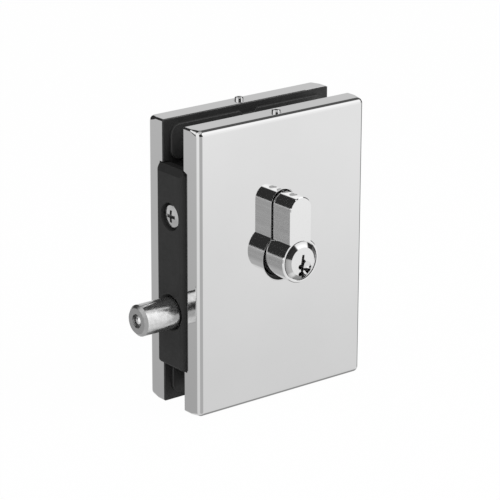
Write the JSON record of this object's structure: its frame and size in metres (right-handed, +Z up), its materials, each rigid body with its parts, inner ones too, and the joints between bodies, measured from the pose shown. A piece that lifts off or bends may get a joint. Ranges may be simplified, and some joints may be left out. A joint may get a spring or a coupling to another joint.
{
  "type": "glass patch fitting",
  "caption": "Glass door patch lock: polished covers clamp the glass around a slim case with a round bolt worked by a profile cylinder.",
  "frame": {"origin": "middle of the glass slot: mid-thickness of the glass, mid-width and mid-height of the covers", "axes": "+X along the width away from the bolt, +Y through the glass away from the front cover, +Z up"},
  "size_m": [0.095, 0.0546, 0.1111],
  "materials": {
    "polished_steel": "mirror polished stainless steel",
    "black_casting": "black coated casting",
    "black_rubber": "plain black sheet",
    "dark_case": "satin dark coated zinc casting",
    "nickel_brass": "nickel plated, brushed sides and polished ends",
    "screw_steel": "bright zinc plated",
    "worn_zinc": "mottled zinc plate on turned steel",
    "nickel_silver": "plain turned nickel silver",
    "peened_steel": "dull peened ends",
    "spring_steel": "spring steel"
  },
  "bodies": {
    "lock_body": {"front_cover": "polished_steel", "rear_cover": "polished_steel", "front_clamp_plate": "black_casting", "rear_clamp_plate": "black_casting", "front_gasket": "black_rubber", "rear_gasket": "black_rubber", "lock_case": "dark_case", "case_lid": "dark_case", "case_lid_screws": "screw_steel", "clamp_screws": "screw_steel", "front_grub_screw": "screw_steel", "rear_grub_screw": "screw_steel", "cylinder_housing": "nickel_brass", "fixing_screw": "screw_steel", "driver_pins": "nickel_silver", "pin_springs": "spring_steel", "chamber_plugs": "peened_steel", "detent_spring": "spring_steel"},
    "front_plug_body": {"front_plug": "nickel_brass", "front_key_pins": "nickel_silver", "front_plug_clip": "spring_steel", "cam": "spring_steel", "clutch": "spring_steel"},
    "rear_plug_body": {"rear_plug": "nickel_brass", "rear_key_pins": "nickel_silver", "rear_plug_clip": "spring_steel"},
    "bolt_body": {"bolt": "worn_zinc", "bolt_carriage": "spring_steel", "bolt_pin": "spring_steel"}
  },
  "joints": [
    {"name": "key_turn", "type": "hinge", "parent": "lock_body", "child": "front_plug_body", "pos_m": [0, 0, 0.0015], "axis": [0, -1, 0], "range_deg": [-2, 74.13]},
    {"name": "bolt_throw", "type": "slide", "parent": "lock_body", "child": "bolt_body", "axis": [1, 0, 0], "range_m": [0, 0.0146], "deforming": ["detent_spring"]},
    {"name": "rear_key_turn", "type": "hinge", "parent": "lock_body", "child": "rear_plug_body", "pos_m": [0, 0, 0.0015], "axis": [0, 1, 0], "continuous": true}
  ],
  "couplings": [
    {"joint": "key_turn", "follows": "bolt_throw", "rad_per_m": 86.228}
  ]
}
